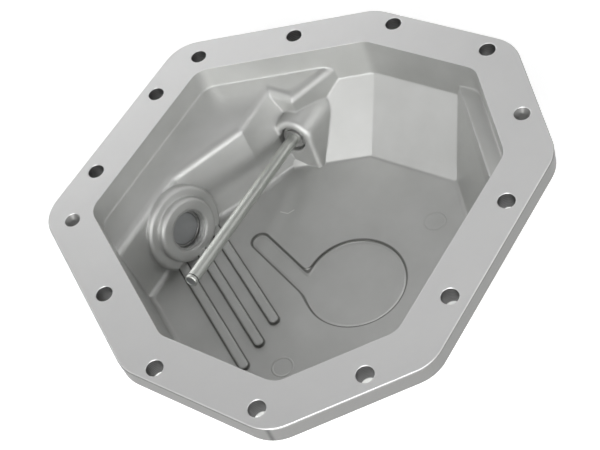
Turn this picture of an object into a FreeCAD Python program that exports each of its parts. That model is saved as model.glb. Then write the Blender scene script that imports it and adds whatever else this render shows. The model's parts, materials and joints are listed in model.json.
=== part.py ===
import FreeCAD, Part
import math
import os

from FreeCAD import Placement, Rotation, Vector

# Cast aluminium cover for the differential of a drive axle.
# The machined flange face lies in the plane Z = 0 and looks up, and the pan hangs below it.
# X runs across the cover, and Y from the side of the drain plug to the far side.
# All lengths are in millimetres and all angles in degrees.

os.makedirs("parts", exist_ok=True)

# Flange: an octagon, the same on both sides of the plane X = 0
flange_thickness = 13.0
land_width = 28.4
half_width = 149.5
half_length = 142.0
drain_side_half = 78.5
far_side_half = 76.8
straight_from_y = -22.4
straight_to_y = 79.3
outer_corner_radius = 26.0
inner_corner_radius = 13.0
flange_edge_chamfer = 0.8

# Names of its sides in the order of the outline, with +Y as north and +X as east
side_names = ["south", "south west", "west", "north west", "north", "north east", "east", "south east"]
dipstick_side = "south west"
long_side = "west"
step_side = "north west"

# Bolt holes: two rows at the ends, mirrored pairs, and two that stand alone
bolt_hole_radius = 5.25
bolt_hole_chamfer = 0.4

# Places on the flange: side of the octagon, distance from that side's middle and from its edge
end_bolts = [("south", 35.0, 12.0), ("south", -35.0, 12.0), ("north", 35.0, 12.0), ("north", -35.0, 12.0)]
mirrored_bolts = [("south west", 13.26, 11.36), ("west", -32.75, 8.7), ("west", 37.35, 11.1)]
lone_bolts = [("north east", -12.51, 10.99), ("south west", -53.42, 15.15)]

# Blind dimples that clear the housing's dowels, near the mirror images of the lone bolts
dimples = [("north west", 11.38, 11.07), ("south east", 53.71, 15.45)]
dimple_radius = 5.4
dimple_depth = 3.2
dimple_bottom_radius = 2.6

# Pan
wall_thickness = 6.5
floor_depth = 64.0
wall_drafts = [1.0, 1.0, 1.0, 1.0, 11.0, 17.0, 7.0, 3.0]
band_depth = 29.5
floor_edge_radius = 4.0
outer_floor_edge_radius = 3.0

# Sloped facets: how far in from the wall each one starts and meets the floor
facet_start = 0.6
long_facet_reach = 43.0
dipstick_facet_reach = 44.0

# Step beside the long facet
step_depth = 20.0
step_width = 11.5
step_wall_reach = 14.0
step_wall_depth = 30.0
step_facet_reach = 30.0

# Edges of the flange that the shelf and both bosses are measured from
dipstick_edge = -half_width
drain_edge = -half_length

# Shelf in the drain and dipstick corner: its edge at shelf level and at floor level
shelf_depth = 17.0
drain_wall_top_y = drain_edge + 52.5
drain_wall_foot_y = drain_edge + 59.0
slant_start_top_x = 10.3
slant_start_foot_x = 20.5
slant_end_top = (dipstick_edge + 110.5, drain_edge + 73.6)
slant_end_foot = (dipstick_edge + 117.5, drain_edge + 85.8)
pocket_top = (dipstick_edge + 74.5, drain_edge + 72.0)
pocket_foot = (dipstick_edge + 75.5, drain_edge + 103.4)
nose_top = (dipstick_edge + 76.5, drain_edge + 92.6)
nose_foot = (dipstick_edge + 78.8, drain_edge + 95.2)
nose_end_top = (dipstick_edge + 43.5, drain_edge + 104.6)
nose_end_foot = (dipstick_edge + 45.0, drain_edge + 107.5)
shelf_edge_radius = 6.0

# Drain boss: centre of its mouth and the way that it faces
drain_mouth = Vector(30.1, drain_edge + 68.4, -floor_depth + 20.0)
drain_azimuth = 83.0
drain_elevation = 15.0
drain_thread_radius = 13.4
drain_face_radius = 21.9
drain_step_radius = 28.8
drain_step_drop = 4.3
drain_boss_length = 27.0
drain_outer_boss_radius = 21.0
drain_boss_edge_radius = 2.4

# Dipstick boss
dipstick_mouth = Vector(dipstick_edge + 89.9, drain_edge + 94.2, -floor_depth + 20.3)
dipstick_azimuth = 8.3
dipstick_elevation = 12.3
dipstick_thread_radius = 9.1
dipstick_face_radius = 14.4
dipstick_face_flare = 11.6
dipstick_face_drop = 27.0
dipstick_boss_draft = 9.0
dipstick_boss_edge_radius = 4.0
dipstick_boss_length = 38.0
dipstick_block_length = 46.0
dipstick_outer_boss_radius = 16.0
mouth_chamfer = 0.8

# Plugs: threaded shank, sealing ring, collar and hexagonal head
thread_gap = 0.1
seal_thickness = 2.0
seal_gap = 0.2
seal_inset = 1.0
spot_face_gap = 1.5
plug_end_chamfer = 1.0
head_corner_cut = 1.2
magnet_chamfer = 0.4
dipstick_plug_recess = 3.0
dipstick_neck_radius = 6.6
dipstick_neck_height = 2.2
dipstick_collar_radius = 14.0
dipstick_collar_thickness = 2.5
dipstick_head_flats = 22.0
dipstick_head_height = 10.0
drain_plug_recess = 6.0
drain_collar_radius = 18.5
drain_collar_thickness = 3.0
drain_head_flats = 27.0
drain_head_height = 10.0
drain_magnet_radius = 11.0
drain_magnet_height = 5.0
drain_magnet_drop = 0.4

# Dipstick rod, whose reach is the flange's width less its shortfall, and the magnet in its end
rod_radius = 4.0
rod_shortfall = 157.5
rod_reach = 2 * half_width - rod_shortfall
rod_socket_depth = 8.0
rod_end_chamfer = 0.5
rod_magnet_radius = 3.0
rod_magnet_height = 6.0
rod_magnet_drop = 0.3

# Raised ribs on the floor
rib_count = 3
rib_width = 6.2
rib_height = 2.8
rib_azimuth = 59.5
rib_end = (half_width - 54.9, 5.5)
rib_pitch_x = 17.9
rib_length = 100.0
rib_edge_radius = 1.2

# Recess in the floor: a round pad with a neck beside it
recess_depth = 1.6
pad_centre = (14.4, half_length - 102.4)
pad_radius = 32.9
neck_width = 12.6
neck_end = (9.9, drain_mouth.y + 37.2)
neck_start = (pad_centre[0] + 16.7, pad_centre[1] - 19.9)
recess_corner_radius = 5.0
recess_edge_radius = 0.8

# Cooling fins under the pan, and how far each side keeps them in from the flange's edge
fin_insets = [22.0, 22.0, 22.0, 22.0, 44.0, 57.0, 38.0, 24.0]
fin_count = 8
fin_pitch = 19.0
fin_width = 4.5
fin_height = 9.5
first_fin_y = -36.0

far = 400.0


def moved_sides(corners, distances):
    """Corners of a polygon after each side has moved to its right by its own distance."""
    count = len(corners)
    lines = []
    for i in range(count):
        along = (corners[(i + 1) % count] - corners[i]).normalize()
        right = Vector(along.y, -along.x, 0)
        lines.append((corners[i] + right * distances[i], along))
    moved = []
    for i in range(count):
        p, d = lines[i - 1]
        q, e = lines[i]
        moved.append(p + d * ((q - p).cross(e).z / d.cross(e).z))
    return moved


def outline(distances):
    """The flange's octagon with each side moved inwards by its own distance."""
    corners = [
        Vector(drain_side_half, -half_length, 0),
        Vector(-drain_side_half, -half_length, 0),
        Vector(-half_width, straight_from_y, 0),
        Vector(-half_width, straight_to_y, 0),
        Vector(-far_side_half, half_length, 0),
        Vector(far_side_half, half_length, 0),
        Vector(half_width, straight_to_y, 0),
        Vector(half_width, straight_from_y, 0),
    ]
    return moved_sides(corners, distances)


def side_ends(corners, side):
    """First and last corner of the side that has this name."""
    i = side_names.index(side)
    return corners[i], corners[(i + 1) % len(corners)]


def rounded_wire(corners, radius, z):
    """Closed outline through the corners at height z, with the same arc in each corner."""
    count = len(corners)
    lift = Vector(0, 0, z)
    arcs = []
    for i in range(count):
        here = corners[i]
        back = (corners[i - 1] - here).normalize()
        ahead = (corners[(i + 1) % count] - here).normalize()
        half_angle = back.getAngle(ahead) / 2
        reach = radius / math.tan(half_angle)
        middle = (back + ahead).normalize() * (radius / math.sin(half_angle) - radius)
        arcs.append((here + back * reach + lift, here + middle + lift, here + ahead * reach + lift))
    edges = []
    for i in range(count):
        edges.append(Part.Arc(*arcs[i]).toShape())
        edges.append(Part.makeLine(arcs[i][2], arcs[(i + 1) % count][0]))
    return Part.Wire(edges)


def polygon(points):
    return Part.makePolygon(points + [points[0]])


def edges_where(shape, rule):
    """Edges of a shape along which every point fits the rule."""
    return [edge for edge in shape.Edges if all(rule(p) for p in edge.discretize(7))]


def along_side(side, profile):
    """Long block beside one wall of the pan, from its profile of inset and height."""
    start, end = side_ends(outline([land_width] * 8), side)
    along = (end - start).normalize()
    inward = Vector(along.y, -along.x, 0)
    points = [start - along * far + inward * p.x + Vector(0, 0, p.y) for p in profile]
    return Part.Face(polygon(points)).extrude(along * 2 * far)


def facet(side, reach, growth):
    """What a sloped facet takes from the pan."""
    high = Vector(facet_start, -band_depth, 0)
    low = Vector(reach, -floor_depth, 0)
    slope = (low - high).normalize() * far
    corners = [low + slope, high - slope, Vector(high.x - slope.x, low.y + slope.y, 0)]
    return along_side(side, moved_sides(corners, [-growth, 0, 0]))


def step(growth):
    """What the step and the facet under it take from the pan."""
    ledge = Vector(step_width, -step_depth, 0)
    wall_foot = Vector(step_wall_reach, -step_wall_depth, 0)
    foot = Vector(step_facet_reach, -floor_depth, 0)
    low = foot + (foot - wall_foot)
    corners = [low, wall_foot, ledge, Vector(-far, ledge.y, 0), Vector(-far, low.y, 0)]
    return along_side(step_side, moved_sides(corners, [-growth, -growth, -growth, 0, 0]))


def under_shelf(top, foot, distances, growth):
    """Block below the shelf between its outlines at shelf level and at floor level."""
    share = (floor_depth + floor_depth - shelf_depth) / (floor_depth - shelf_depth)
    low = [a + (b - a) * share for a, b in zip(top, foot)]
    upper = [p + Vector(0, 0, -shelf_depth - growth) for p in moved_sides(top, distances)]
    lower = [p + Vector(0, 0, -2 * floor_depth) for p in moved_sides(low, distances)]
    return Part.makeLoft([polygon(upper), polygon(lower)], True, True)


def beyond(start, end):
    """Point of the line from start through end that lies at the back of a block."""
    share = (far + start[0]) / (start[0] - end[0])
    return Vector(-far, start[1] + (end[1] - start[1]) * share, 0)


def shelf(growth, soft):
    """What the shelf, the drain's wall and the pocket beside the dipstick take from the pan."""
    main_top = [
        Vector(far, drain_wall_top_y, 0),
        Vector(slant_start_top_x, drain_wall_top_y, 0),
        Vector(*slant_end_top, 0),
        beyond(slant_end_top, pocket_top),
        Vector(-far, -far, 0),
        Vector(far, -far, 0),
    ]
    main_foot = [
        Vector(far, drain_wall_foot_y, 0),
        Vector(slant_start_foot_x, drain_wall_foot_y, 0),
        Vector(*slant_end_foot, 0),
        beyond(slant_end_foot, pocket_foot),
        Vector(-far, -far, 0),
        Vector(far, -far, 0),
    ]
    nose_side_top = [
        Vector(nose_top[0], -far, 0),
        Vector(*nose_top, 0),
        beyond(nose_top, nose_end_top),
        Vector(-far, -far, 0),
    ]
    nose_side_foot = [
        Vector(nose_foot[0], -far, 0),
        Vector(*nose_foot, 0),
        beyond(nose_foot, nose_end_foot),
        Vector(-far, -far, 0),
    ]
    main_moves = [-growth] * 3 + [0, 0, 0]
    nose_moves = [-growth] * 2 + [0, 0]
    main = under_shelf(main_top, main_foot, main_moves, growth)
    nose = under_shelf(nose_side_top, nose_side_foot, nose_moves, growth)
    both = main.fuse(nose).removeSplitter()
    if not soft:
        return both
    rim = [edge for edge in edges_at(both, -shelf_depth - growth) if not is_far(edge.CenterOfMass)]
    return both.makeFillet(shelf_edge_radius, rim)


def runs_down(edge):
    return edge.BoundBox.ZLength > 0.7 * edge.Length


def is_far(point):
    """Whether a point belongs to the back of a block, well outside the cover."""
    return point.x < -2 * half_width or point.y < -2 * half_length or point.x > 2 * half_width


def edges_at(shape, z):
    """Edges of a shape that lie at height z."""
    return edges_where(shape, lambda p: abs(p.z - z) < 0.01)


def pan(growth, soft=True):
    """Inside of the pan, or its outside when it has grown by the wall's thickness."""
    depth = floor_depth + growth
    rim = land_width - growth
    feet = [rim + depth * math.tan(math.radians(draft)) for draft in wall_drafts]
    radius = inner_corner_radius + growth
    upper = rounded_wire(outline([rim] * 8), radius, 0)
    lower = rounded_wire(outline(feet), radius, -depth)
    body = Part.makeLoft([upper, lower], True, True)
    taken = [
        facet(long_side, long_facet_reach, growth),
        facet(dipstick_side, dipstick_facet_reach, growth),
        step(growth),
        shelf(growth, soft),
    ]
    body = body.cut(taken).removeSplitter()
    if not soft:
        return body
    floor_radius = outer_floor_edge_radius if growth else floor_edge_radius
    return body.makeFillet(floor_radius, edges_at(body, -depth))


def facing(mouth, azimuth, elevation):
    """Placement on a boss: Z looks out of its mouth, Y up along its face and X sideways."""
    turn = Rotation(Vector(0, 0, 1), azimuth)
    tilt = Rotation(Vector(0, 1, 0), 90 - elevation)
    upright = Rotation(Vector(0, 0, 1), 90)
    return Placement(mouth, turn.multiply(tilt).multiply(upright))


drain_place = facing(drain_mouth, drain_azimuth, drain_elevation)
dipstick_place = facing(dipstick_mouth, dipstick_azimuth, dipstick_elevation)


def placed(shape, place):
    shape.Placement = place
    return shape


def turned(radius, low, high):
    """Round bar about Z between two heights."""
    return Part.makeCylinder(radius, high - low, Vector(0, 0, low))


def ring(outer_radius, inner_radius, low, high):
    return turned(outer_radius, low, high).cut(turned(inner_radius, low - 1, high + 1))


def softened(shape, radius, rule):
    """Shape with a fillet along the edges that fit the rule."""
    return shape.makeFillet(radius, edges_where(shape, rule))


def hexagon(flats, low, high):
    """Hexagonal head about Z, whose outer corners are turned down at its lower end."""
    corner = flats / math.sqrt(3)
    points = []
    for i in range(6):
        angle = math.radians(60 * i)
        points.append(Vector(corner * math.cos(angle), corner * math.sin(angle), low))
    bar = Part.Face(polygon(points)).extrude(Vector(0, 0, high - low))
    height = high - low
    cone = Part.makeCone(corner - head_corner_cut, corner + 2 * height, height, Vector(0, 0, low))
    return bar.common(cone)


def tombstone(radius, drop, z):
    """Outline of the dipstick boss at height z: a round top on sides that flare out."""
    flare = math.radians(dipstick_face_flare)
    across = radius * math.cos(flare)
    up = radius * math.sin(flare)
    foot = radius / math.cos(flare) + drop * math.tan(flare)
    right = Vector(across, up, z)
    left = Vector(-across, up, z)
    foot_right = Vector(foot, -drop, z)
    foot_left = Vector(-foot, -drop, z)
    arch = Part.Arc(right, Vector(0, radius, z), left).toShape()
    sides = [
        Part.makeLine(left, foot_left),
        Part.makeLine(foot_left, foot_right),
        Part.makeLine(foot_right, right),
    ]
    return Part.Wire([arch] + sides)


def drain_boss():
    """Two round steps on the shelf's wall, as they stand in the pan."""
    face = turned(drain_face_radius, -drain_boss_length, 0)
    face = softened(face, drain_boss_edge_radius, lambda p: abs(p.z) < 0.01)
    base = turned(drain_step_radius, -drain_boss_length, -drain_step_drop)
    base = softened(base, drain_boss_edge_radius, lambda p: abs(p.z + drain_step_drop) < 0.01)
    return placed(face.fuse(base), drain_place)


def dipstick_boss():
    """Arched block that grows out of the pocket and the sloped facet."""
    widening = dipstick_block_length * math.tan(math.radians(dipstick_boss_draft))
    front = tombstone(dipstick_face_radius, dipstick_face_drop, 0)
    back = tombstone(dipstick_face_radius + widening, dipstick_face_drop, -dipstick_block_length)
    block = Part.makeLoft([back, front], True, True)
    block = softened(block, dipstick_boss_edge_radius, lambda p: abs(p.z) < 0.01)
    return placed(block, dipstick_place)


def stadium(length, width, low, high):
    """Round-ended bar along X from the origin, between two heights."""
    half = width / 2
    across = Vector(0, half, low)
    end = Vector(length, 0, low)
    edges = [
        Part.makeLine(Vector(0, -half, low), end + Vector(0, -half, 0)),
        Part.Arc(end + Vector(0, -half, 0), end + Vector(half, 0, 0), end + Vector(0, half, 0)).toShape(),
        Part.makeLine(end + Vector(0, half, 0), across),
        Part.Arc(across, Vector(-half, 0, low), Vector(0, -half, low)).toShape(),
    ]
    return Part.Face(Part.Wire(edges)).extrude(Vector(0, 0, high - low))


def floor_ribs():
    """Parallel ribs that stand on the floor beside the drain."""
    top = -floor_depth + rib_height
    ribs = []
    for i in range(rib_count):
        rib = stadium(rib_length, rib_width, -floor_depth - wall_thickness / 2, top)
        rib = softened(rib, rib_edge_radius, lambda p: abs(p.z - top) < 0.01)
        end = Vector(rib_end[0] - i * rib_pitch_x, rib_end[1], 0)
        ribs.append(placed(rib, Placement(end, Rotation(Vector(0, 0, 1), rib_azimuth + 180))))
    return ribs


def floor_recess():
    """Round pad in the floor with a neck that runs past its middle."""
    low = -floor_depth - recess_depth
    high = -floor_depth + rib_height
    pad = turned(pad_radius, low, high)
    pad.translate(Vector(*pad_centre, 0))
    run = Vector(*neck_start, 0) - Vector(*neck_end, 0)
    neck = stadium(run.Length, neck_width, low, high)
    neck = placed(neck, Placement(Vector(*neck_end, 0), Rotation(Vector(1, 0, 0), run)))
    both = pad.fuse(neck).removeSplitter()
    both = both.makeFillet(recess_corner_radius, inner_corners(both))
    return both.makeFillet(recess_edge_radius, edges_at(both, low))


def inner_corners(recess):
    """Upright edges where the neck runs into the pad."""
    centre = Vector(*pad_centre, 0)
    found = []
    for edge in recess.Edges:
        middle = edge.CenterOfMass
        reach = math.hypot(middle.x - centre.x, middle.y - centre.y)
        if runs_down(edge) and abs(reach - pad_radius) < 0.1:
            found.append(edge)
    return found


def fins():
    """Plates under the pan that follow its outside down to one flat plane."""
    depth = floor_depth + wall_thickness + fin_height
    grown = pan(wall_thickness + fin_height, soft=False)
    clip = rounded_wire(outline(fin_insets), inner_corner_radius, -depth)
    clip = Part.Face(clip).extrude(Vector(0, 0, depth - band_depth - wall_thickness))
    plates = []
    for i in range(fin_count):
        y = first_fin_y + i * fin_pitch
        corner = Vector(-half_width, y - fin_width / 2, -depth)
        plates.append(Part.makeBox(2 * half_width, fin_width, depth, corner))
    return [plate.common(grown).common(clip) for plate in plates]


def on_flange(side, along, inset):
    """Point of the flange face, from its distances to a side's middle and to its edge."""
    start, end = side_ends(outline([0] * 8), side)
    direction = (end - start).normalize()
    inward = Vector(direction.y, -direction.x, 0)
    return (start + end) * 0.5 + direction * along + inward * inset


def mirrored(point):
    return Vector(-point.x, point.y, 0)


def bolt_places():
    """Centres of all the bolt holes."""
    pairs = [on_flange(*place) for place in mirrored_bolts]
    single = [on_flange(*place) for place in end_bolts + lone_bolts]
    return single + pairs + [mirrored(point) for point in pairs]


def bolt_hole(centre):
    """Through hole with a small chamfer at the flange face."""
    drill = turned(bolt_hole_radius, -flange_thickness - 1, 1)
    wide = bolt_hole_radius + bolt_hole_chamfer
    mouth = Part.makeCone(bolt_hole_radius, wide, bolt_hole_chamfer, Vector(0, 0, -bolt_hole_chamfer))
    hole = drill.fuse(mouth)
    hole.translate(centre)
    return hole


def dimple(centre):
    cone = Part.makeCone(dimple_bottom_radius, dimple_radius, dimple_depth, Vector(0, 0, -dimple_depth))
    cone.translate(centre)
    return cone


def bore(radius, length):
    """Threaded bore through a boss, with a chamfer at its mouth."""
    drill = turned(radius, -length - 1, 1)
    wide = radius + mouth_chamfer
    mouth = Part.makeCone(radius, wide, mouth_chamfer, Vector(0, 0, -mouth_chamfer))
    return drill.fuse(mouth)


def spot_face(collar_radius, boss_length, height):
    """Room behind a boss for the plug's seal, collar and head."""
    radius = collar_radius + spot_face_gap
    return turned(radius, -boss_length - seal_thickness - height, -boss_length)


def flange():
    plate = Part.Face(rounded_wire(outline([0] * 8), outer_corner_radius, -flange_thickness))
    plate = plate.extrude(Vector(0, 0, flange_thickness))
    return plate.makeChamfer(flange_edge_chamfer, edges_at(plate, 0) + edges_at(plate, -flange_thickness))


def cover_casting():
    """The casting: the pan and its flange, with the space inside taken out of them."""
    drain_boss_back = placed(
        turned(drain_outer_boss_radius, -drain_boss_length, -wall_thickness), drain_place
    )
    dipstick_boss_back = placed(
        turned(dipstick_outer_boss_radius, -dipstick_boss_length, -wall_thickness), dipstick_place
    )
    solid = pan(wall_thickness).fuse([flange(), drain_boss_back, dipstick_boss_back] + fins())
    space = pan(0).cut([drain_boss(), dipstick_boss()] + floor_ribs()).fuse(floor_recess())
    holes = [bolt_hole(centre) for centre in bolt_places()]
    holes += [dimple(on_flange(*place)) for place in dimples]
    holes.append(placed(bore(drain_thread_radius, drain_boss_length), drain_place))
    holes.append(placed(bore(dipstick_thread_radius, dipstick_boss_length), dipstick_place))
    drain_height = drain_collar_thickness + drain_head_height
    drain_spot = spot_face(drain_collar_radius, drain_boss_length, drain_height)
    dipstick_height = dipstick_collar_thickness + dipstick_head_height
    dipstick_spot = spot_face(dipstick_collar_radius, dipstick_boss_length, dipstick_height)
    spots = [placed(drain_spot, drain_place), placed(dipstick_spot, dipstick_place)]
    return solid.cut([space] + holes + spots)


def plug(thread_radius, recess, length, collar_radius, collar, flats, head):
    """Threaded plug about Z with its inner end below the mouth, its collar and its head."""
    seat = -length - seal_thickness
    radius = thread_radius - thread_gap
    shank = turned(radius, seat, -recess)
    shank = shank.makeChamfer(plug_end_chamfer, edges_at(shank, -recess))
    rim = turned(collar_radius, seat - collar, seat)
    return shank.fuse([rim, hexagon(flats, seat - collar - head, seat - collar)])


def dipstick_plug():
    solid = plug(
        dipstick_thread_radius,
        dipstick_plug_recess,
        dipstick_boss_length,
        dipstick_collar_radius,
        dipstick_collar_thickness,
        dipstick_head_flats,
        dipstick_head_height,
    )
    neck = turned(dipstick_neck_radius, -dipstick_plug_recess, dipstick_neck_height - dipstick_plug_recess)
    socket = turned(rod_radius, -dipstick_plug_recess - rod_socket_depth, 0)
    return placed(solid.fuse(neck).cut(socket), dipstick_place)


def dipstick_rod():
    """Rod pressed into its plug, with a seat for the magnet in its free end."""
    rod = turned(rod_radius, -dipstick_plug_recess - rod_socket_depth, rod_reach)
    rod = rod.makeChamfer(rod_end_chamfer, edges_at(rod, rod_reach))
    seat = turned(rod_magnet_radius, rod_reach - rod_magnet_height, rod_reach)
    return placed(rod.cut(seat), dipstick_place)


def dipstick_magnet():
    magnet = turned(rod_magnet_radius, rod_reach - rod_magnet_height, rod_reach - rod_magnet_drop)
    return placed(magnet, dipstick_place)


def drain_plug():
    solid = plug(
        drain_thread_radius,
        drain_plug_recess,
        drain_boss_length,
        drain_collar_radius,
        drain_collar_thickness,
        drain_head_flats,
        drain_head_height,
    )
    seat = turned(drain_magnet_radius, -drain_plug_recess - drain_magnet_height, 0)
    return placed(solid.cut(seat), drain_place)


def drain_magnet():
    top = -drain_plug_recess - drain_magnet_drop
    disc = turned(drain_magnet_radius, -drain_plug_recess - drain_magnet_height, top)
    disc = disc.makeChamfer(magnet_chamfer, edges_at(disc, top))
    return placed(disc, drain_place)


def seal(thread_radius, collar_radius, length, place):
    """Flat sealing ring between a boss and its plug's collar."""
    solid = ring(collar_radius - seal_inset, thread_radius + seal_gap, -length - seal_thickness, -length)
    return placed(solid, place)


cover_casting().exportStep("parts/cover_casting.step")
dipstick_plug().exportStep("parts/dipstick_plug.step")
dipstick_rod().exportStep("parts/dipstick_rod.step")
dipstick_magnet().exportStep("parts/dipstick_magnet.step")
drain_plug().exportStep("parts/drain_plug.step")
drain_magnet().exportStep("parts/drain_magnet.step")
seal(drain_thread_radius, drain_collar_radius, drain_boss_length, drain_place).exportStep(
    "parts/drain_seal.step"
)
seal(dipstick_thread_radius, dipstick_collar_radius, dipstick_boss_length, dipstick_place).exportStep(
    "parts/dipstick_seal.step"
)
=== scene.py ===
import bmesh
import bpy
import json
import math
from mathutils import Matrix, Vector


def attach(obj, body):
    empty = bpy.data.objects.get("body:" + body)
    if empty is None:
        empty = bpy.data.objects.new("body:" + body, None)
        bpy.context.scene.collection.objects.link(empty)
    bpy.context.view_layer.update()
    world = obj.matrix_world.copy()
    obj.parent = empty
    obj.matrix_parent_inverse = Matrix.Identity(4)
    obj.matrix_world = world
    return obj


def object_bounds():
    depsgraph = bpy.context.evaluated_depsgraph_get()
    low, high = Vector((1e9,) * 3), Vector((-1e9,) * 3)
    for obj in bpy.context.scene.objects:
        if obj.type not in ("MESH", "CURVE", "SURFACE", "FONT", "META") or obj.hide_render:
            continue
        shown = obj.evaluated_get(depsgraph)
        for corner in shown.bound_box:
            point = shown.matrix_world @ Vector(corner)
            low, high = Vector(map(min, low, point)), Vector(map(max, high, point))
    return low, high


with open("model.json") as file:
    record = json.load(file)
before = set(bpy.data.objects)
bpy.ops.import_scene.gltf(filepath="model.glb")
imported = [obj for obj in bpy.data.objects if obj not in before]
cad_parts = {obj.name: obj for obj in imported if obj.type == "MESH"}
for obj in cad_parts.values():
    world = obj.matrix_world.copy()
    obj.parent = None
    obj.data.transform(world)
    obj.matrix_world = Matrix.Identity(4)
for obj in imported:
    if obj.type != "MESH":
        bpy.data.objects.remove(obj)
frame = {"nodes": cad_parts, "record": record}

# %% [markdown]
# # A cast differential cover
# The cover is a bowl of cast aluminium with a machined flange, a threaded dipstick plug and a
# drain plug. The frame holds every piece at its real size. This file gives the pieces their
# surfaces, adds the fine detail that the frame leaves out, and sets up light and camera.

MM = 0.001
cad_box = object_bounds()
nodes = frame["nodes"]
print("pieces in the frame:", sorted(nodes))

# %% [markdown]
# ## Camera
# The photograph looks down into the pan at about 50 degrees, and the camera is rolled. Its place
# and its three directions were fitted to the flange's corners and bolt holes. Writing the
# directions as the columns of a matrix sets the roll as well, which aiming at a point wouldn't.

# %% Camera
camera_place = Vector((0.3418, 0.4022, 0.5887))
camera_right = Vector((-0.5085, 0.8226, -0.2547)).normalized()
camera_back = Vector((0.4138, 0.4928, 0.7654)).normalized()
camera_up = camera_back.cross(camera_right)
camera_data = bpy.data.cameras.new("camera")
camera_data.sensor_width = 36.0
camera_data.lens = 78.0
camera = bpy.data.objects.new("camera", camera_data)
turn = Matrix((camera_right, camera_up, camera_back)).transposed()
camera.matrix_world = Matrix.Translation(camera_place) @ turn.to_4x4()
bpy.context.scene.collection.objects.link(camera)
bpy.context.scene.camera = camera
print("lens in mm:", camera_data.lens)

# %% [markdown]
# ## Stage
# The photograph is cut out on white. A pale sheet under the fins keeps a soft shadow there, and
# its rim bends up into a low wall all round, as paper does in a studio. The paper glows white only
# where the camera, a reflection or glass looks at it, which Light Path tells, so its white doesn't
# flood the pan with light that the lamps should give. The room above the wall is dim. A white room
# would be simpler, but metal mirrors it and loses its shading.

# %% Node helpers


def math_node(tree, operation, *values):
    """Math node whose inputs are numbers or other nodes' outputs."""
    node = tree.nodes.new("ShaderNodeMath")
    node.operation = operation
    for socket, value in zip(node.inputs, values):
        if isinstance(value, (int, float)):
            socket.default_value = value
        else:
            tree.links.new(value, socket)
    return node.outputs[0]


def greatest(tree, values):
    """Greatest of several nodes' outputs."""
    found, *others = values
    for value in others:
        found = math_node(tree, "MAXIMUM", found, value)
    return found


def new_material(name):
    """New node material, given back with its node tree and its Principled shader."""
    made = bpy.data.materials.new(name)
    made.use_nodes = True
    return made, made.node_tree, made.node_tree.nodes["Principled BSDF"]


# %% Paper
paper_grey = 0.9
paper_roughness = 0.9
paper_gloss = 0.1
paper_glow = 0.45
direct_rays = ("Is Camera Ray", "Is Glossy Ray", "Is Transmission Ray")


def white_paper():
    """Pale matt paper that glows for direct looks and gives no light to the object."""
    made, tree, shader = new_material("white_paper")
    shader.inputs["Base Color"].default_value = (paper_grey, paper_grey, paper_grey, 1)
    shader.inputs["Roughness"].default_value = paper_roughness
    shader.inputs["Specular IOR Level"].default_value = paper_gloss
    shader.inputs["Emission Color"].default_value = (1, 1, 1, 1)
    ray = tree.nodes.new("ShaderNodeLightPath")
    seen = greatest(tree, [ray.outputs[kind] for kind in direct_rays])
    glow = math_node(tree, "MULTIPLY", seen, paper_glow)
    tree.links.new(glow, shader.inputs["Emission Strength"])
    return made


# %% Paper sheet
sheet_radius = 4.0
sheet_corners = 64
wall_height = 2.0
rim_bend = 0.8
rim_segments = 10
gap_under_fins = 0.2 * MM


def link_object(name, mesh):
    """New object in the scene, which shows a mesh."""
    made = bpy.data.objects.new(name, mesh)
    bpy.context.scene.collection.objects.link(made)
    return made


sheet_level = cad_box[0][2] - gap_under_fins
sheet = bmesh.new()
bmesh.ops.create_circle(sheet, cap_ends=True, segments=sheet_corners, radius=sheet_radius)
bmesh.ops.translate(sheet, verts=sheet.verts, vec=(0, 0, sheet_level))
rim = [edge for edge in sheet.edges if edge.is_boundary]
wall = bmesh.ops.extrude_edge_only(sheet, edges=rim)["geom"]
raised = [item for item in wall if isinstance(item, bmesh.types.BMVert)]
bmesh.ops.translate(sheet, verts=raised, vec=(0, 0, wall_height))
bmesh.ops.bevel(
    sheet, geom=rim, offset=rim_bend, segments=rim_segments, profile=0.5, affect="EDGES",
    material=-1,
)
for face in sheet.faces:
    face.smooth = True
sheet_mesh = bpy.data.meshes.new("paper_sheet")
sheet.to_mesh(sheet_mesh)
sheet.free()
sheet_mesh.materials.append(white_paper())
link_object("paper_sheet", sheet_mesh)
print("sheet level in mm:", round(sheet_level / MM, 2))

# %% Room
room_light = 0.06
room = bpy.data.worlds.new("dim_room")
bpy.context.scene.world = room
room.use_nodes = True
backdrop = room.node_tree.nodes["Background"]
backdrop.inputs["Color"].default_value = (1, 1, 1, 1)
backdrop.inputs["Strength"].default_value = room_light
print("room light:", room_light)

# %% [markdown]
# ## Lamps
# The photograph's light is soft, but it comes from some sides more than from others: the facets
# under the far wall are bright and the wall beside the drain is dark. Large square lamps stand
# round the cover in a low and a high ring. Each one's power was found by lighting the scene with
# one lamp at a time and weighing the pictures against the photograph. One big lamp would be
# quicker, but it leaves either the pan or the flange face wrong.

# %% Lamps
lamp_size = 0.7
pan_middle = Vector((0, 0, cad_box[0][2] / 2))
lamps = {
    "low_near": ((1.27, 0.92, 0.33), 11.0),
    "high_near": ((1.25, 0.40, 0.92), 9.6),
    "low_right": ((0.48, 1.49, 0.33), 8.3),
    "low_left": ((-0.48, -1.49, 0.33), 6.2),
    "low_back": ((-1.27, -0.92, 0.33), 4.8),
    "high_left": ((0.77, -1.06, 0.92), 3.4),
    "high_right": ((-0.77, 1.06, 0.92), 3.5),
    "overhead": ((-0.80, 0.00, 1.39), 2.3),
    "overhead_near": ((0.80, 0.00, 1.39), 1.6),
    "high_back": ((-0.77, -1.06, 0.92), 1.0),
    "overhead_back": ((-0.40, -0.69, 1.39), 0.9),
}


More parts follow.
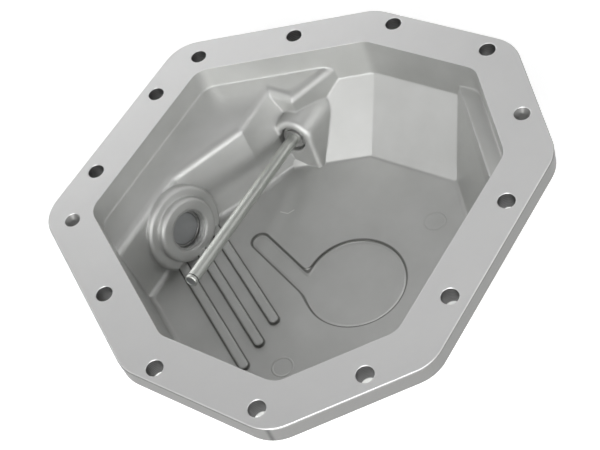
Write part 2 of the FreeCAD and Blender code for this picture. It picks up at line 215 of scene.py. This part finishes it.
def square_lamp(name, place, power):
    """Square soft lamp that looks at the middle of the pan."""
    data = bpy.data.lights.new(name, "AREA")
    data.size = lamp_size
    data.energy = power
    lamp = link_object(name, data)
    aim = (pan_middle - Vector(place)).to_track_quat("-Z", "Y").to_matrix().to_4x4()
    lamp.matrix_world = Matrix.Translation(Vector(place)) @ aim


for name, (place, power) in lamps.items():
    square_lamp(name, place, power)
    print(name, "lamp at", place, "power", power)

# %% [markdown]
# ## Metal
# Cast aluminium is a grey, slightly mottled skin with a fine grain from the mould, and no edge on
# it is sharp. The mottling, the grain and the rounded edges are one node group that every finish
# shares, because a group is built once and then only gets other values. The Bevel node rounds the
# shading where real rounding would cost many faces.

# %% Surface group
surface_sizes = ("Patch Size", "Grain Size", "Grain Depth", "Edge Radius")
patch_detail = 3.0
grain_detail = 2.0
bevel_samples = 4


def noise_of_size(tree, size, detail):
    """Noise on Object coordinates whose blobs have the size that another node gives."""
    place = tree.nodes.new("ShaderNodeTexCoord")
    noise = tree.nodes.new("ShaderNodeTexNoise")
    noise.inputs["Detail"].default_value = detail
    tree.links.new(place.outputs["Object"], noise.inputs["Vector"])
    tree.links.new(math_node(tree, "DIVIDE", 1.0, size), noise.inputs["Scale"])
    return noise.outputs["Fac"]


def surface_group():
    """Node group: large mottling as a mask, and grain with rounded edges as a normal."""
    tree = bpy.data.node_groups.new("metal_surface", "ShaderNodeTree")
    add_socket = tree.interface.new_socket
    for name in surface_sizes:
        add_socket(name=name, in_out="INPUT", socket_type="NodeSocketFloat")
    add_socket(name="Patches", in_out="OUTPUT", socket_type="NodeSocketFloat")
    add_socket(name="Normal", in_out="OUTPUT", socket_type="NodeSocketVector")
    entry = tree.nodes.new("NodeGroupInput")
    leave = tree.nodes.new("NodeGroupOutput")
    patches = noise_of_size(tree, entry.outputs["Patch Size"], patch_detail)
    grain = noise_of_size(tree, entry.outputs["Grain Size"], grain_detail)
    rounded = tree.nodes.new("ShaderNodeBevel")
    rounded.samples = bevel_samples
    bump = tree.nodes.new("ShaderNodeBump")
    tree.links.new(entry.outputs["Edge Radius"], rounded.inputs["Radius"])
    tree.links.new(rounded.outputs["Normal"], bump.inputs["Normal"])
    tree.links.new(grain, bump.inputs["Height"])
    tree.links.new(entry.outputs["Grain Depth"], bump.inputs["Distance"])
    tree.links.new(patches, leave.inputs["Patches"])
    tree.links.new(bump.outputs["Normal"], leave.inputs["Normal"])
    return tree


metal_surface = surface_group()
print("surface group takes:", surface_sizes)

# %% Colour helpers


def ramp(tree, value, low, high, start, end):
    """Map Range node: value from low to high becomes start to end, smoothly."""
    node = tree.nodes.new("ShaderNodeMapRange")
    node.interpolation_type = "SMOOTHSTEP"
    node.inputs["From Min"].default_value = low
    node.inputs["From Max"].default_value = high
    node.inputs["To Min"].default_value = start
    node.inputs["To Max"].default_value = end
    tree.links.new(value, node.inputs["Value"])
    return node.outputs["Result"]


def mix_colour(tree, mask, first, second):
    """Mix node between two colours, each a tuple or another node's output."""
    node = tree.nodes.new("ShaderNodeMix")
    node.data_type = "RGBA"
    tree.links.new(mask, node.inputs["Factor"])
    for name, value in (("A", first), ("B", second)):
        socket = [s for s in node.inputs if s.name == name and s.type == "RGBA"][0]
        if isinstance(value, tuple):
            socket.default_value = (*value, 1)
        else:
            tree.links.new(value, socket)
    return [s for s in node.outputs if s.type == "RGBA"][0]


def place_surface(tree, sizes):
    """Surface group with its sizes in metres, in the order of its inputs."""
    node = tree.nodes.new("ShaderNodeGroup")
    node.node_tree = metal_surface
    for name, size in zip(surface_sizes, sizes):
        node.inputs[name].default_value = size
    return node


# %% [markdown]
# ## Lines on the pan's floor
# Shade is painted as a dark line round the foot of the ribs and along the edge of the recess, and
# the mould's ejector pins leave faint rings. All of these follow a straight or round outline, so
# one node group gives the distance to the outline of a stadium, whose two ends may be the same
# point for a circle. The least of two distances is the distance to both outlines joined. A mask
# from a picture would need drawing and would blur close by, which a distance never does.

# %% Stadium group
smallest_run = 1e-9


def vector_node(tree, operation, first, second, output="Vector"):
    """Vector Math node whose inputs are tuples or other nodes' outputs."""
    node = tree.nodes.new("ShaderNodeVectorMath")
    node.operation = operation
    for socket, value in zip(node.inputs, (first, second)):
        if isinstance(value, tuple):
            socket.default_value = value
        else:
            tree.links.new(value, socket)
    return node.outputs[output]


def stadium_group():
    """Node group: distance to a stadium's outline in plan, below zero inside it."""
    tree = bpy.data.node_groups.new("stadium_distance", "ShaderNodeTree")
    add_socket = tree.interface.new_socket
    add_socket(name="Start", in_out="INPUT", socket_type="NodeSocketVector")
    add_socket(name="End", in_out="INPUT", socket_type="NodeSocketVector")
    add_socket(name="Radius", in_out="INPUT", socket_type="NodeSocketFloat")
    add_socket(name="Distance", in_out="OUTPUT", socket_type="NodeSocketFloat")
    entry = tree.nodes.new("NodeGroupInput")
    leave = tree.nodes.new("NodeGroupOutput")
    place = tree.nodes.new("ShaderNodeTexCoord")
    flat = vector_node(tree, "MULTIPLY", place.outputs["Object"], (1, 1, 0))
    run = vector_node(tree, "SUBTRACT", entry.outputs["End"], entry.outputs["Start"])
    reach = vector_node(tree, "SUBTRACT", flat, entry.outputs["Start"])
    along = vector_node(tree, "DOT_PRODUCT", reach, run, "Value")
    whole = vector_node(tree, "DOT_PRODUCT", run, run, "Value")
    share = math_node(tree, "DIVIDE", along, math_node(tree, "MAXIMUM", whole, smallest_run))
    share.node.use_clamp = True
    spread = tree.nodes.new("ShaderNodeCombineXYZ")
    for socket in spread.inputs:
        tree.links.new(share, socket)
    nearest = vector_node(tree, "MULTIPLY", run, spread.outputs[0])
    off = vector_node(tree, "DISTANCE", reach, nearest, "Value")
    distance = math_node(tree, "SUBTRACT", off, entry.outputs["Radius"])
    tree.links.new(distance, leave.inputs["Distance"])
    return tree


stadium_distance = stadium_group()
print("stadium sockets:", [item.name for item in stadium_distance.interface.items_tree])

# %% Outlines
full_line_share = 0.3


def stadium(tree, start, end, radius):
    """Distance to the outline of a stadium given in millimetres."""
    node = tree.nodes.new("ShaderNodeGroup")
    node.node_tree = stadium_distance
    node.inputs["Start"].default_value = (start[0] * MM, start[1] * MM, 0)
    node.inputs["End"].default_value = (end[0] * MM, end[1] * MM, 0)
    node.inputs["Radius"].default_value = radius * MM
    return node.outputs["Distance"]


def line(tree, distance, half_width):
    """Mask: 1 on an outline, fading to 0 at the half width in millimetres."""
    off = math_node(tree, "ABSOLUTE", distance)
    return ramp(tree, off, full_line_share * half_width * MM, half_width * MM, 1, 0)


# %% Floor plan in millimetres
rib_angle = math.radians(239.5)
rib_length = 100
rib_run = (math.cos(rib_angle) * rib_length, math.sin(rib_angle) * rib_length)
rib_pitch = 17.9
rib_ends = [(94.6 - rib_pitch * i, 5.5) for i in range(3)]
rib_foot = 3.2
pad_centre = (14.4, 39.6)
pad_radius = 32.9
neck_ends = ((9.9, -36.4), (31.1, 19.7))
neck_radius = 6.3
pins = (((85.5, 28.8), 6.5), ((-45.0, 65.0), 7.0))
scratches = (((-15.7, -36.5), (-16.3, -31.0)), ((-16.3, -31.0), (-20.3, -28.6)))
# Half widths in mm: the painted shade lines at the recess and the ribs, the rings and the scratch.
recess_shade_width, rib_shade_width, ring_width, scratch_width = 1.1, 1.2, 0.8, 0.6
print("ribs end at:", [(round(x, 1), y) for x, y in rib_ends])

# %% Floor masks
floor_level = -64 * MM
floor_fade_in = (floor_level - 3 * MM, floor_level - 2.5 * MM)
floor_fade_out = (floor_level + 1.4 * MM, floor_level + 2.6 * MM)
recess_corner = 6 * MM
recess_slope = 2.6 * MM
recess_shoulder = 0.2 * MM
ring_share = 0.3


def recess_distance(tree):
    """Distance to the outline of the round pad and its neck, joined by a rounded corner."""
    neck = stadium(tree, *neck_ends, neck_radius)
    pad = stadium(tree, pad_centre, pad_centre, pad_radius)
    return math_node(tree, "SMOOTH_MIN", neck, pad, recess_corner)


def rib_shade_line(tree, end):
    """Painted shade line round the foot of one rib."""
    start = (end[0] + rib_run[0], end[1] + rib_run[1])
    return line(tree, stadium(tree, end, start, rib_foot), rib_shade_width)


def floor_masks(tree, height):
    """Masks on the pan's floor: painted shade in creases, relief of recess and rings, bare
    scratches.
    """
    low = ramp(tree, height, *floor_fade_in, 0, 1)
    high = ramp(tree, height, *floor_fade_out, 1, 0)
    on_floor = math_node(tree, "MULTIPLY", low, high)
    recess = recess_distance(tree)
    feet = [rib_shade_line(tree, end) for end in rib_ends]
    # Painted shade along the recess edge and the rib feet.
    crease_shade = greatest(tree, [line(tree, recess, recess_shade_width), *feet])
    sunk = ramp(tree, recess, -recess_slope, recess_shoulder, -1, 0)
    circles = [stadium(tree, centre, centre, radius) for centre, radius in pins]
    rings = greatest(tree, [line(tree, circle, ring_width) for circle in circles])
    relief = math_node(tree, "ADD", sunk, math_node(tree, "MULTIPLY", rings, ring_share))
    cuts = [stadium(tree, start, end, 0) for start, end in scratches]
    bare = greatest(tree, [line(tree, cut, scratch_width) for cut in cuts])
    return [math_node(tree, "MULTIPLY", mask, on_floor) for mask in (crease_shade, relief, bare)]


# %% [markdown]
# ## Flange
# The flange is milled and drilled after casting. Its face is flat, brighter and smoother than the
# skin, and the walls of its holes keep the drill's fine grooves and lie in shade, which is painted
# on them as a dark colour striped by the grooves. All of it is one casting, so one material tells
# these places apart by height and by the distance from the flange's outer edge. Material slots on
# the faces would do too, but the frame's mesh is left as it is.

# %% Flange in plan
flange_sides = (
    (0.0, -1.0, 0.142),
    (0.860, -0.511, 0.140),
    (1.0, 0.0, 0.1495),
    (0.653, 0.757, 0.1577),
    (0.0, 1.0, 0.142),
)


def beyond_flange(tree, x, y):
    """Distance past the flange's outer edge, below zero inside it."""
    across = math_node(tree, "ABSOLUTE", x)
    sides = []
    for share_x, share_y, distance in flange_sides:
        part = math_node(tree, "MULTIPLY", across, share_x)
        other = math_node(tree, "MULTIPLY", y, share_y)
        sides.append(math_node(tree, "SUBTRACT", math_node(tree, "ADD", part, other), distance))
    return greatest(tree, sides)


# %% Bolt holes
dimples = ((73.4, -120.7), (-97.5, 109.6))
dimple_radius = 6.0
dimple_fade = (0, 1 * MM)
flange_inner_fade = (-20 * MM, -19 * MM)
flange_outer_fade = (-2.5 * MM, -1.5 * MM)
flange_back_fade = (-12.6 * MM, -12.2 * MM)
groove_pitch = 1.5 * MM
groove_low = 0.65


def hole_shade_mask(tree, reach, height):
    """Mask of painted shade in the flange's bolt holes: 1 in the drill's grooves and less between
    them.
    """
    inward = ramp(tree, reach, *flange_inner_fade, 0, 1)
    off_side = ramp(tree, reach, *flange_outer_fade, 1, 0)
    above_back = ramp(tree, height, *flange_back_fade, 0, 1)
    mask = math_node(tree, "MULTIPLY", math_node(tree, "MULTIPLY", inward, off_side), above_back)
    for centre in dimples:
        away = ramp(tree, stadium(tree, centre, centre, dimple_radius), *dimple_fade, 0, 1)
        mask = math_node(tree, "MULTIPLY", mask, away)
    wave = math_node(tree, "SINE", math_node(tree, "MULTIPLY", height, math.tau / groove_pitch))
    return math_node(tree, "MULTIPLY", mask, ramp(tree, wave, -1, 1, groove_low, 1.0))


# %% [markdown]
# ## Cast aluminium
# The pan's skin is light and a little mottled. The flange's sides and back are painted darker, as
# its side is in the photograph; this is painted shade. The painted shade in the floor's creases,
# its scratch and the painted shade in the holes are laid over the skin one after another, and the
# milled face over all of them. Edges are rounded on the cast walls alone: the edge of the milled
# face and the floor's low steps would be smoothed away.

# %% Cast values
skin_sizes = (25 * MM, 0.7 * MM, 0.03 * MM)
skin_colours = ((0.525, 0.53, 0.517), (0.635, 0.638, 0.628))
face_colours = ((0.70, 0.70, 0.70), (0.74, 0.74, 0.735))
# Painted shade: dark colour laid in the creases at the rib feet and the recess edge.
crease_shade_colour, crease_shade_share = (0.12, 0.12, 0.11), 0.75
bare_colour, bare_share = (0.85, 0.85, 0.83), 0.8
# Painted shade: the flange's sides and back are darkened.
flange_shade_colour = (0.26, 0.26, 0.255)
# Painted shade: near-black laid on the walls of the bolt holes.
hole_shade_colour = (0.10, 0.10, 0.10)
skin_roughness, face_roughness = 0.50, 0.45
sharp_edge, cast_edge = 0.3 * MM, 2.2 * MM
floor_edge_fade = (floor_level + 4 * MM, floor_level + 8 * MM)
face_edge_fade = (-3 * MM, -2 * MM)
milled_fade = (-0.5 * MM, -0.3 * MM)
flange_shade_fade = (-21 * MM, -19 * MM)
relief_depth = 0.6 * MM
cast_metallic = 0.9
print("skin colours:", skin_colours)

# %% Cast aluminium


def edge_radius(tree, height):
    """Rounding radius: large on the cast walls, small at the floor and at the milled face."""
    off_floor = ramp(tree, height, *floor_edge_fade, 0, 1)
    off_face = ramp(tree, height, *face_edge_fade, 1, 0)
    cast = math_node(tree, "MULTIPLY", off_floor, off_face)
    return ramp(tree, cast, 0, 1, sharp_edge, cast_edge)


def skin_colour(tree, patches, reach, height, crease_shade, bare):
    """Colour of the unmilled skin, with painted shade in creases, on the flange's sides and in the
    holes.
    """
    skin = mix_colour(tree, patches, *skin_colours)
    # Painted shade: the creases at the rib feet and the recess edge are darkened.
    skin = mix_colour(tree, math_node(tree, "MULTIPLY", crease_shade, crease_shade_share), skin, crease_shade_colour)
    skin = mix_colour(tree, math_node(tree, "MULTIPLY", bare, bare_share), skin, bare_colour)
    # Painted shade: the flange's sides and back are darkened.
    flange_shade = ramp(tree, reach, *flange_shade_fade, 0, 1)
    skin = mix_colour(tree, flange_shade, skin, flange_shade_colour)
    # Painted shade: the bolt holes' walls are darkened, striped by the drill's grooves.
    return mix_colour(tree, hole_shade_mask(tree, reach, height), skin, hole_shade_colour)


def cast_aluminium():
    """Material of the casting."""
    made, tree, shader = new_material("cast_aluminium")
    surface = place_surface(tree, skin_sizes)
    place = tree.nodes.new("ShaderNodeTexCoord")
    split = tree.nodes.new("ShaderNodeSeparateXYZ")
    tree.links.new(place.outputs["Object"], split.inputs[0])
    height = split.outputs["Z"]
    tree.links.new(edge_radius(tree, height), surface.inputs["Edge Radius"])
    reach = beyond_flange(tree, split.outputs["X"], split.outputs["Y"])
    crease_shade, relief, bare = floor_masks(tree, height)
    patches = surface.outputs["Patches"]
    skin = skin_colour(tree, patches, reach, height, crease_shade, bare)
    milled = ramp(tree, height, *milled_fade, 0, 1)
    colour = mix_colour(tree, milled, skin, mix_colour(tree, patches, *face_colours))
    roughness = ramp(tree, milled, 0, 1, skin_roughness, face_roughness)
    bump = tree.nodes.new("ShaderNodeBump")
    bump.inputs["Distance"].default_value = relief_depth
    tree.links.new(relief, bump.inputs["Height"])
    tree.links.new(surface.outputs["Normal"], bump.inputs["Normal"])
    tree.links.new(colour, shader.inputs["Base Color"])
    tree.links.new(roughness, shader.inputs["Roughness"])
    tree.links.new(bump.outputs["Normal"], shader.inputs["Normal"])
    shader.inputs["Metallic"].default_value = cast_metallic
    return made


# %% [markdown]
# ## Plugs, rod, magnets and seals
# The plugs are zinc-plated, the rod is ground, the magnets are nickel-plated and the seals are soft
# aluminium. They differ in tone and gloss only, so one function makes all four. The rod has a fine
# groove before its magnet, whose shade is painted as a dark line. It follows the distance along the
# rod's axis, which is a dot product.

# %% Plain metals
plain_sizes = (6 * MM, 0.2 * MM, 0.003 * MM, 0.3 * MM)
# Painted shade: the rod's groove is drawn as this near-black line.
groove_shade_colour = (0.06, 0.06, 0.06)
groove_shade_half_width = 0.6
rod_axis = (0.9668, 0.1410, 0.2130)
rod_end = 67.8 * MM
groove_from_end = 2.6 * MM


def plain_metal(name, dark, light, roughness, groove=None):
    """Plain metal, with a groove's painted shade as a dark line across an axis at a distance where
    these are given.
    """
    made, tree, shader = new_material(name)
    surface = place_surface(tree, plain_sizes)
    colour = mix_colour(tree, surface.outputs["Patches"], dark, light)
    if groove:
        axis, distance = groove
        place = tree.nodes.new("ShaderNodeTexCoord")
        along = vector_node(tree, "DOT_PRODUCT", place.outputs["Object"], axis, "Value")
        off = math_node(tree, "SUBTRACT", along, distance)
        colour = mix_colour(tree, line(tree, off, groove_shade_half_width), colour, groove_shade_colour)
    tree.links.new(colour, shader.inputs["Base Color"])
    tree.links.new(surface.outputs["Normal"], shader.inputs["Normal"])
    shader.inputs["Metallic"].default_value = 1.0
    shader.inputs["Roughness"].default_value = roughness
    return made


# %% Finishes
rod_groove_shade = (rod_axis, rod_end - groove_from_end)
plain_finishes = {
    "plug_steel": ((0.42, 0.42, 0.42), (0.55, 0.55, 0.54), 0.35),
    "rod_steel": ((0.50, 0.515, 0.49), (0.60, 0.615, 0.585), 0.45, rod_groove_shade),
    "magnet_plating": ((0.40, 0.41, 0.42), (0.48, 0.49, 0.50), 0.4),
    "seal_aluminium": ((0.65, 0.65, 0.66), (0.72, 0.72, 0.73), 0.4),
}
finishes = {name: plain_metal(name, *values) for name, values in plain_finishes.items()}
finishes["cast_aluminium"] = cast_aluminium()
for part in frame["record"]["subparts"]:
    mesh = nodes[part["node"]].data
    mesh.materials.clear()
    mesh.materials.append(finishes[part["material_slot"]])
    print(part["node"], "is", part["material_slot"])

# %% [markdown]
# ## Thread in the drain boss
# The plug sits 6 mm down in its bore, so the last turns of the casting's thread show above it. A
# V-shaped profile swept along a helix makes them. The spin operator does the sweep in one call
# when it also gets a small step along its axis, which is simpler than a curve with a profile.

# %% Thread profile
bore_radius = 13.4 * MM
thread_low, thread_high = -5.2 * MM, -1.0 * MM
thread_pitch = 1.5 * MM
ridge_height = 0.9 * MM
ridge_root = 0.2 * MM
foot_share, tip_share = 0.48, 0.08
foot = bore_radius + ridge_root
tip = bore_radius - ridge_height
profile = ((foot, -foot_share), (tip, -tip_share), (tip, tip_share), (foot, foot_share))
thread = bmesh.new()
corners = [(radius, 0, thread_low + share * thread_pitch) for radius, share in profile]
points = [thread.verts.new(corner) for corner in corners]
edges = [thread.edges.new(pair) for pair in zip(points, points[1:] + points[:1])]
print("ridge is", round((foot - tip) / MM, 2), "mm high")

# %% Thread sweep
steps_per_turn = 64
turns = (thread_high - thread_low) / thread_pitch
steps = steps_per_turn * turns
bmesh.ops.spin(
    thread, geom=points + edges, cent=(0, 0, 0), axis=(0, 0, 1), angle=turns * math.tau,
    dvec=(0, 0, (thread_high - thread_low) / steps), steps=int(steps),
)
bmesh.ops.holes_fill(thread, edges=[edge for edge in thread.edges if edge.is_boundary])
bmesh.ops.recalc_face_normals(thread, faces=thread.faces)
print("turns:", round(turns, 1), "faces:", len(thread.faces))

# %% Thread in its bore
drain_mouth = Vector((30.1, -73.6, -44.0)) * MM
drain_azimuth = math.radians(83.0)
drain_elevation = math.radians(15.0)
aim = Matrix.Rotation(drain_azimuth, 4, "Z")
tilt = Matrix.Rotation(math.radians(90) - drain_elevation, 4, "Y")
bmesh.ops.transform(thread, matrix=Matrix.Translation(drain_mouth) @ aim @ tilt, verts=thread.verts)
thread_mesh = bpy.data.meshes.new("drain_bore_thread")
thread.to_mesh(thread_mesh)
thread.free()
thread_mesh.materials.append(finishes["cast_aluminium"])
drain_thread = link_object("drain_bore_thread", thread_mesh)
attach(drain_thread, "root")

# %% [markdown]
# ## View transform
# The picture uses the Standard view transform.

# %% View transform
bpy.context.scene.view_settings.view_transform = "Standard"
